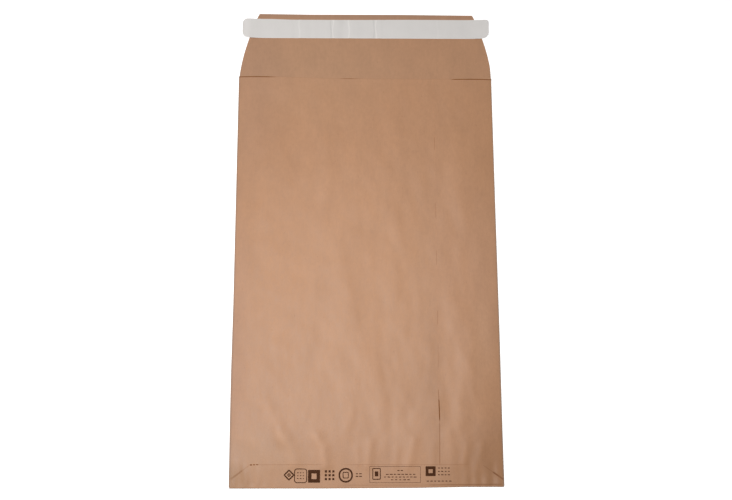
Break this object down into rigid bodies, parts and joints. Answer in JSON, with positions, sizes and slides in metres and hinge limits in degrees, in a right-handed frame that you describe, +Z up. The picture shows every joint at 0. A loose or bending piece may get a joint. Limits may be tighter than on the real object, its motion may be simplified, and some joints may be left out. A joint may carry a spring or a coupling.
{
  "type": "paper mailing bag",
  "caption": "Flat kraft paper mailing bag with a lengthwise glued seam, a folded and glued foot, and an open closing flap whose adhesive lies under a release liner.",
  "frame": {"origin": "middle of the rectangle that the bag covers, on the plane it lies on", "axes": "+X across the bag, towards the seam; +Y along the bag, from the bottom fold to the closing flap; +Z up, out of the seam side"},
  "size_m": [0.25, 0.467, 0.0081],
  "materials": {
    "kraft": "brown kraft paper, machine finished",
    "glue": "dried white glue",
    "adhesive": "clear pressure-sensitive adhesive",
    "liner": "white translucent silicone-coated release paper"
  },
  "bodies": {
    "root": {"bag": "kraft", "side_seam_glue": "glue", "bottom_flap_glue": "glue", "flap_adhesive": "adhesive", "release_liner": "liner"}
  },
  "joints": []
}
